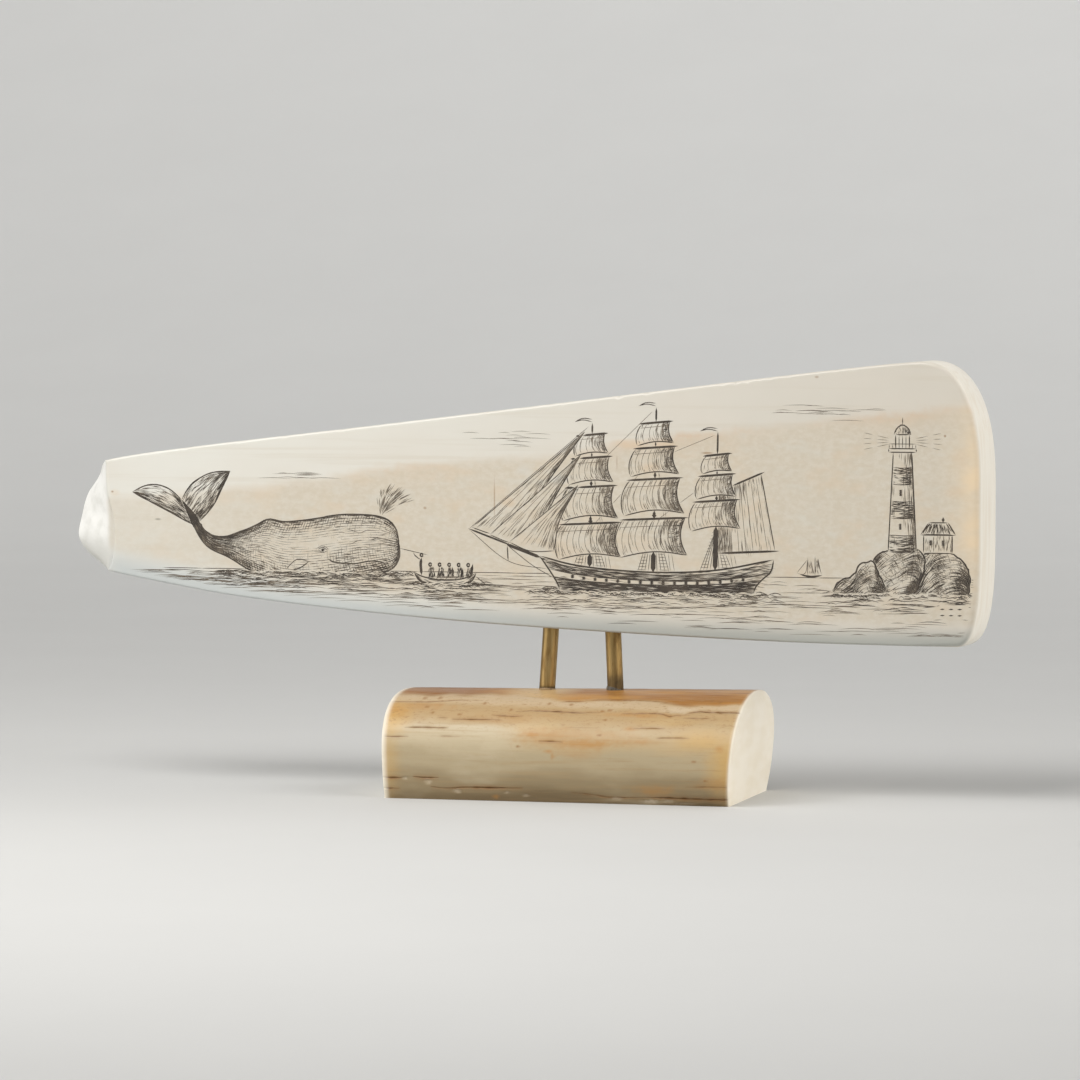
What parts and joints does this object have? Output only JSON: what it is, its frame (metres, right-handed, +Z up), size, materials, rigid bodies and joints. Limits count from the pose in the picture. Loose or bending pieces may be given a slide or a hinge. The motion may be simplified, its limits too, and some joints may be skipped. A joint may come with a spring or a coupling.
{
  "type": "scrimshaw ivory plaque on stand",
  "caption": "Tapered slab of tusk ivory with an engraved and inked sea scene, held upright on brass rods over a half-round tusk foot.",
  "frame": {"origin": "centre of the foot's flat underside, on the surface that the object stands on", "axes": "+X along the plaque towards its broad end, -Y out of the engraved face, +Z up"},
  "size_m": [0.1876, 0.0388, 0.0859],
  "materials": {
    "plaque_ivory": "polished cream ivory with a smooth outer layer, a mottled core and dark brown ink in the engraved lines",
    "foot_ivory": "satin aged ivory, stained tan and orange along the top, with long brown age cracks and pale end cuts",
    "brass": "drawn brass rod, bright with a brown tarnish near the foot"
  },
  "bodies": {
    "root": {"plaque": "plaque_ivory", "rod_left": "brass", "rod_right": "brass", "base": "foot_ivory"}
  },
  "joints": []
}
